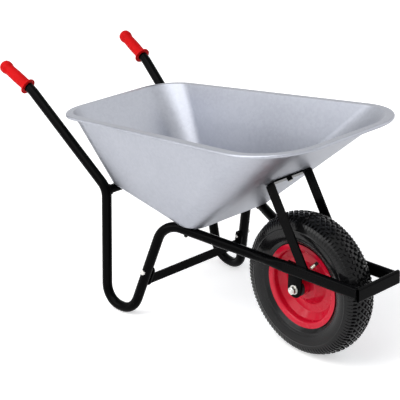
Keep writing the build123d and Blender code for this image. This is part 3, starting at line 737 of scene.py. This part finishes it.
def hex_nut(name, flats, height, bore, place):
    """A chamfered nut or bolt head, from a turned blank and a six-sided cylinder."""
    corner_radius = flats / sqrt(3)
    face_radius = flats / 2 * FACE_SHARE
    chamfer = (corner_radius - face_radius) * CHAMFER_SLOPE
    blank_outline = [
        (bore, -height / 2), (face_radius, -height / 2), (corner_radius, -height / 2 + chamfer),
        (corner_radius, height / 2 - chamfer), (face_radius, height / 2),
    ]
    if bore:
        blank_outline += [(bore + BORE_BREAK, height / 2), (bore, height / 2 - BORE_BREAK)]
    else:
        blank_outline.append((0.0, height / 2))
    blank = turned(f"{name}_blank", blank_outline, NUT_STEPS, Matrix.Identity(4))
    bpy.ops.object.select_all(action="DESELECT")
    bpy.ops.mesh.primitive_cylinder_add(vertices=6, radius=corner_radius, depth=height * 1.2)
    hexagon = bpy.context.object
    bpy.ops.object.select_all(action="DESELECT")
    blank.select_set(True)
    bpy.context.view_layer.objects.active = blank
    cut = blank.modifiers.new("corners", "BOOLEAN")
    cut.operation = "INTERSECT"
    cut.solver = "EXACT"
    cut.object = hexagon
    bpy.ops.object.modifier_apply(modifier=cut.name)
    bpy.data.objects.remove(hexagon)
    blank.name = name
    blank.data.transform(place)
    bpy.ops.object.shade_smooth_by_angle(angle=NUT_SMOOTH)
    return blank


def joined(name, pieces):
    """Joins several objects into one piece."""
    bpy.ops.object.select_all(action="DESELECT")
    for piece in pieces:
        piece.select_set(True)
    bpy.context.view_layer.objects.active = pieces[0]
    bpy.ops.object.join()
    pieces[0].name = name
    return pieces[0]


def thread_line(radius, start, end, pitch):
    """The zigzag of a thread along a rod, as points for a turned outline."""
    points = []
    for turn in range(int((end - start) / pitch)):
        points.append((radius - THREAD_SHARE * pitch, start + turn * pitch))
        points.append((radius, start + (turn + 0.5) * pitch))
    return points


print("nut and thread helpers ready")

# %% Axle
AXLE_RADIUS = 0.006
AXLE_TIP_RADIUS = 0.0046
AXLE_THREAD_START = 0.0010
AXLE_THREAD_END = 0.0170
AXLE_PITCH = 0.00175
AXLE_STEPS = 48

axle_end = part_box("axle")[1].y
thread_end = -axle_end + AXLE_THREAD_END
axle_half = [(0.0, -axle_end), (AXLE_TIP_RADIUS, -axle_end)]
axle_half += thread_line(AXLE_RADIUS, -axle_end + AXLE_THREAD_START, thread_end, AXLE_PITCH)
axle_half.append((AXLE_RADIUS, thread_end))
axle_rod = turned("axle_rod", axle_half + mirrored(axle_half), AXLE_STEPS, wheel_place)
hand_in(axle_rod, "barrow", "zinc_steel", "axle")

# %% Axle nuts and washers
NUT_HEIGHT = 0.010
NUT_FLATS = 0.019
NUT_BORE = 0.00605
WASHER_THICKNESS = 0.0025
WASHER_STEPS = 64
WASHER_OUTLINE = [
    (0.0063, 0.0), (0.0126, 0.0), (0.0130, 0.0005), (0.0130, 0.0019),
    (0.0125, WASHER_THICKNESS), (0.0067, WASHER_THICKNESS), (0.0063, 0.0021),
]

nut_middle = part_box("axle_nuts")[1].y - NUT_HEIGHT / 2
washer_seat = nut_middle - NUT_HEIGHT / 2 - WASHER_THICKNESS
axle_nuts = []
axle_washers = []
for side, _ in SIDES:
    outward = Matrix.Translation(wheel_centre) @ Matrix.Rotation(-side * pi / 2, 4, "X")
    nut_place = outward @ Matrix.Translation((0.0, 0.0, nut_middle))
    axle_nuts.append(hex_nut("axle_nut", NUT_FLATS, NUT_HEIGHT, NUT_BORE, nut_place))
    washer_place = outward @ Matrix.Translation((0.0, 0.0, washer_seat))
    axle_washers.append(turned("axle_washer", WASHER_OUTLINE, WASHER_STEPS, washer_place))
hand_in(joined("axle_nut_pair", axle_nuts), "barrow", "zinc_steel", "axle_nuts")
hand_in(joined("axle_washer_pair", axle_washers), "barrow", "zinc_steel", "axle_washers")

# %% [markdown]
# ## Axle hangers
# The plate that hangs under each rail is sheared from flat bar. Its edges are slightly rounded, and the
# round draws a thin bright line of light round its end. A plane gets its two lower corners rounded by a
# vertex bevel, is given its thickness, and then has all its sharp edges bevelled.

# %% Axle hangers
HANGER_ROUND_STEPS = 20
HANGER_MERGE = 0.00005
HANGER_SHARP = radians(50)
HANGER_EDGE_ROUND = 0.0009
HANGER_EDGE_STEPS = 3
HANGER_SMOOTH = radians(35)

for side, word in SIDES:
    low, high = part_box(f"{word}_axle_hanger")
    bpy.ops.object.select_all(action="DESELECT")
    bpy.ops.mesh.primitive_plane_add(size=1.0)
    hanger = bpy.context.object
    hanger.name = f"{word}_hanger_plate"
    for vertex in hanger.data.vertices:
        across = (low.x + high.x) / 2 + vertex.co.x * (high.x - low.x)
        up = (low.z + high.z) / 2 + vertex.co.y * (high.z - low.z)
        vertex.co = (across, low.y, up)
    bpy.ops.object.mode_set(mode="EDIT")
    bpy.ops.mesh.select_mode(type="VERT")
    bpy.ops.mesh.select_all(action="DESELECT")
    bpy.ops.object.mode_set(mode="OBJECT")
    for vertex in hanger.data.vertices:
        vertex.select = vertex.co.z < wheel_centre.z
    bpy.ops.object.mode_set(mode="EDIT")
    bpy.ops.mesh.bevel(offset=(high.x - low.x) / 2, segments=HANGER_ROUND_STEPS, affect="VERTICES")
    bpy.ops.mesh.select_all(action="SELECT")
    bpy.ops.mesh.remove_doubles(threshold=HANGER_MERGE)
    bpy.ops.mesh.extrude_region_move(TRANSFORM_OT_translate={"value": (0.0, high.y - low.y, 0.0)})
    bpy.ops.mesh.select_all(action="SELECT")
    bpy.ops.mesh.normals_make_consistent(inside=False)
    bpy.ops.mesh.select_all(action="DESELECT")
    bpy.ops.mesh.select_mode(type="EDGE")
    bpy.ops.mesh.edges_select_sharp(sharpness=HANGER_SHARP)
    bpy.ops.mesh.bevel(offset=HANGER_EDGE_ROUND, segments=HANGER_EDGE_STEPS)
    bpy.ops.object.mode_set(mode="OBJECT")
    bpy.ops.object.shade_smooth_by_angle(angle=HANGER_SMOOTH)
    hand_in(hanger, "barrow", "black_paint", f"{word}_axle_hanger")

# %% [markdown]
# ## Bolts of the leg brace
# A bolt runs through each leg and through the tab of the brace behind it. Its line is square to the
# plane of the leg's loop, so it follows from three points of the leg. Heads, nuts and threads come from
# the helpers of the axle, and the two bolts are joined, because they share one solid's name.

# %% Brace bolts
LEG_FOOT = (465, 211, 14)
LEG_TOP = (388, 162, 294)
LEG_REAR_FOOT = (567, 219, 14)
BOLT_UP = 140
HEAD_SEAT = 0.0142
HEAD_HEIGHT = 0.0052
TAB_FACE = -0.0194
BRACE_NUT_HEIGHT = 0.0064
BRACE_FLATS = 0.01296
BOLT_RADIUS = 0.004
BOLT_TIP_RADIUS = 0.0031
BOLT_PITCH = 0.00125
BOLT_PLAY = 0.00004
BOLT_STEPS = 32
SHANK_END = -0.0288
SHANK_THREAD_START = SHANK_END + 0.0008
SHANK_THREAD_END = SHANK_END + 0.0120
SHANK_PLAIN_FROM = SHANK_END + 0.0125


def frame_point(behind, aside, height, side):
    """A point in the scene, from millimetres behind the axle, from the middle and above the ground."""
    return Vector((wheel_centre.x - behind / 1000, side * aside / 1000, height / 1000))


shank_outline = [(0.0, SHANK_END), (BOLT_TIP_RADIUS, SHANK_END)]
shank_outline += thread_line(BOLT_RADIUS, SHANK_THREAD_START, SHANK_THREAD_END, BOLT_PITCH)
shank_outline += [(BOLT_RADIUS, SHANK_PLAIN_FROM), (BOLT_RADIUS, HEAD_SEAT), (0.0, HEAD_SEAT)]
brace_bolts = []
brace_nuts = []
for side, _ in SIDES:
    foot = frame_point(*LEG_FOOT, side)
    limb = frame_point(*LEG_TOP, side) - foot
    outward = limb.cross(frame_point(*LEG_REAR_FOOT, side) - foot).normalized()
    if outward.y * side < 0:
        outward.negate()
    middle = foot + limb * (BOLT_UP - LEG_FOOT[2]) / (LEG_TOP[2] - LEG_FOOT[2])
    line = Matrix.Translation(middle) @ outward.to_track_quat("Z", "Y").to_matrix().to_4x4()
    head_place = line @ Matrix.Translation((0.0, 0.0, HEAD_SEAT + HEAD_HEIGHT / 2))
    brace_bolts.append(hex_nut("brace_bolt", BRACE_FLATS, HEAD_HEIGHT, 0.0, head_place))
    brace_bolts.append(turned("brace_shank", shank_outline, BOLT_STEPS, line))
    nut_place = line @ Matrix.Translation((0.0, 0.0, TAB_FACE - BRACE_NUT_HEIGHT / 2))
    nut_bore = BOLT_RADIUS + BOLT_PLAY
    brace_nuts.append(hex_nut("brace_nut", BRACE_FLATS, BRACE_NUT_HEIGHT, nut_bore, nut_place))
hand_in(joined("brace_bolt_pair", brace_bolts), "barrow", "zinc_steel", "brace_bolts")
hand_in(joined("brace_nut_pair", brace_nuts), "barrow", "black_paint", "brace_nuts")

# %% [markdown]
# ## Welds
# The bumper, the strap over the wheel, the axle hangers and the cross bar are welded to the tubes. A
# bead is a row of overlapping drops of metal. A plain tube would look drawn on, so one drop is copied
# along a line, and a voxel remesh melts the drops into one skin.

# %% Weld beads
DROP_PITCH = 0.0028
DROP_SUBDIVISIONS = 2
VOXELS_PER_RADIUS = 5


def weld(name, points, radius):
    """A bead of drops at the given points, melted into one skin."""
    bpy.ops.object.select_all(action="DESELECT")
    bpy.ops.mesh.primitive_ico_sphere_add(subdivisions=DROP_SUBDIVISIONS, radius=radius)
    drop = bpy.context.object
    drop.data.transform(Matrix.Translation(points[0]))
    drops = [drop]
    for before, point in zip(points, points[1:]):
        drop = drop.copy()
        drop.data = drop.data.copy()
        bpy.context.collection.objects.link(drop)
        drop.data.transform(Matrix.Translation(point - before))
        drops.append(drop)
    bead = joined(name, drops)
    melt = bead.modifiers.new("melt", "REMESH")
    melt.mode = "VOXEL"
    melt.voxel_size = radius / VOXELS_PER_RADIUS
    bpy.ops.object.modifier_apply(modifier=melt.name)
    bpy.ops.object.shade_smooth()
    hand_in(bead, "barrow", "black_paint")


def straight(start, end):
    """Evenly spaced points from start to end."""
    count = max(2, round((end - start).length / DROP_PITCH))
    return [start.lerp(end, step / (count - 1)) for step in range(count)]


print("weld helpers ready, one drop every", DROP_PITCH)

# %% Welds at the front
BROAD_BEAD = 0.0026
NARROW_BEAD = 0.0022
FRONT_WELDS = [
    ("strap_weld", (-22, 74.8, 273.6), (-52, 74.8, 274.7), BROAD_BEAD),
    ("bumper_weld", (-218.6, 78.0, 251), (-219.6, 78.0, 279), NARROW_BEAD),
    ("bumper_inner_weld", (-218.6, 60.4, 254), (-219.6, 60.4, 276), BROAD_BEAD),
    ("hanger_weld", (21, 60.6, 270.8), (-21, 60.6, 270.8), NARROW_BEAD),
]
for side, word in SIDES:
    for seam, start, end, bead_radius in FRONT_WELDS:
        seam_points = straight(frame_point(*start, side), frame_point(*end, side))
        weld(f"{word}_{seam}", seam_points, bead_radius)

# %% [markdown]
# ### Welds of the cross bar
# The cross bar ends against the round flank of each frame tube, so its weld isn't a flat ring. Each
# drop is set back by as much as the tube's circle falls away there. Sizes are in millimetres.

# %% Welds of the cross bar
BAR_BEHIND = 600.8
BAR_HEIGHT = 329.2
BAR_RADIUS = 12.5
BAR_DROPS = 28
BEAD_OUT = 0.6
BEAD_OFF_TUBE = 0.4
TUBE_ASIDE = 185.0
TUBE_RADIUS = 14.2
TUBE_RUN = Vector((0.476, -0.88)).normalized()

for side, word in SIDES:
    points = []
    for step in range(BAR_DROPS + 1):
        turn = 2 * pi * step / BAR_DROPS
        spoke = Vector((cos(turn), sin(turn))) * (BAR_RADIUS + BEAD_OUT)
        off = spoke.x * TUBE_RUN.y - spoke.y * TUBE_RUN.x
        aside = TUBE_ASIDE - sqrt(TUBE_RADIUS**2 - off**2) - BEAD_OFF_TUBE
        points.append(frame_point(BAR_BEHIND - spoke.x, aside, BAR_HEIGHT + spoke.y, side))
    weld(f"{word}_cross_bar_weld", points, BROAD_BEAD)
